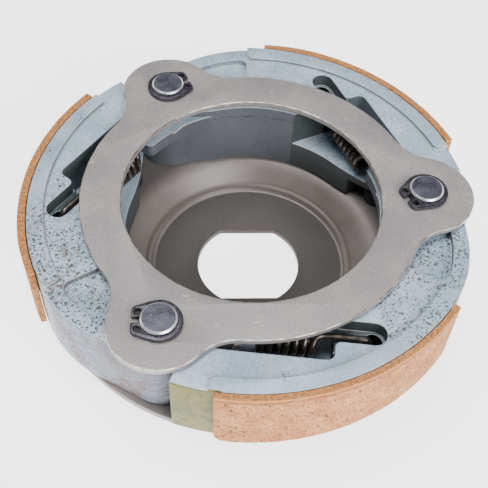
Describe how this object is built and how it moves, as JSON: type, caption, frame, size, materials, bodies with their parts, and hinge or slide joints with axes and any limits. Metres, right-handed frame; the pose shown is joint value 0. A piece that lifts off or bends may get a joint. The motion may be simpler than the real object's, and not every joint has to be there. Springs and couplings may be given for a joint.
{
  "type": "centrifugal clutch",
  "caption": "Round centrifugal clutch: lined shoes swing out on pins against springs, between a dished drive plate and a lobed side plate.",
  "frame": {"origin": "centre of the two-flat hub hole, in the plane of the dish floor's underside", "axes": "+Z along the clutch axis from the dish floor towards the side plate; +X through pivot pin 2; the hub hole's flats are parallel to X"},
  "size_m": [0.121, 0.123, 0.0356],
  "materials": {
    "pressed_steel": "satin, phosphated",
    "plate_steel": "satin with scratches",
    "blackened_steel": "blackened, worn bright at the edges",
    "spring_steel": "oiled",
    "cast_aluminium": "as cast, pitted",
    "friction_lining": "ground friction compound",
    "damper_rubber": "matt"
  },
  "bodies": {
    "carrier": {"drive_plate": "pressed_steel", "side_plate": "plate_steel", "pivot_pin_1": "blackened_steel", "circlip_1": "blackened_steel", "damper_stud_1": "blackened_steel", "damper_rubber_1": "damper_rubber", "pivot_pin_2": "blackened_steel", "circlip_2": "blackened_steel", "damper_stud_2": "blackened_steel", "damper_rubber_2": "damper_rubber", "pivot_pin_3": "blackened_steel", "circlip_3": "blackened_steel", "damper_stud_3": "blackened_steel", "damper_rubber_3": "damper_rubber"},
    "swing_1": {"shoe_1": "cast_aluminium", "lining_1": "friction_lining", "spring_1": "spring_steel"},
    "swing_2": {"shoe_2": "cast_aluminium", "lining_2": "friction_lining", "spring_2": "spring_steel"},
    "swing_3": {"shoe_3": "cast_aluminium", "lining_3": "friction_lining", "spring_3": "spring_steel"}
  },
  "joints": [
    {"name": "shoe_1_pivot", "type": "hinge", "parent": "carrier", "child": "swing_1", "pos_m": [-0.02325, 0.04027, 0.0208], "axis": [0, 0, 1], "range_deg": [0, 4], "stiffness_Nm_per_rad": 10, "springref_deg": -11.46, "deforming": ["spring_1"]},
    {"name": "shoe_2_pivot", "type": "hinge", "parent": "carrier", "child": "swing_2", "pos_m": [0.0465, 0, 0.0208], "axis": [0, 0, 1], "range_deg": [0, 4], "stiffness_Nm_per_rad": 10, "springref_deg": -11.46, "deforming": ["spring_2"]},
    {"name": "shoe_3_pivot", "type": "hinge", "parent": "carrier", "child": "swing_3", "pos_m": [-0.02325, -0.04027, 0.0208], "axis": [0, 0, 1], "range_deg": [0, 4], "stiffness_Nm_per_rad": 10, "springref_deg": -11.46, "deforming": ["spring_3"]}
  ]
}
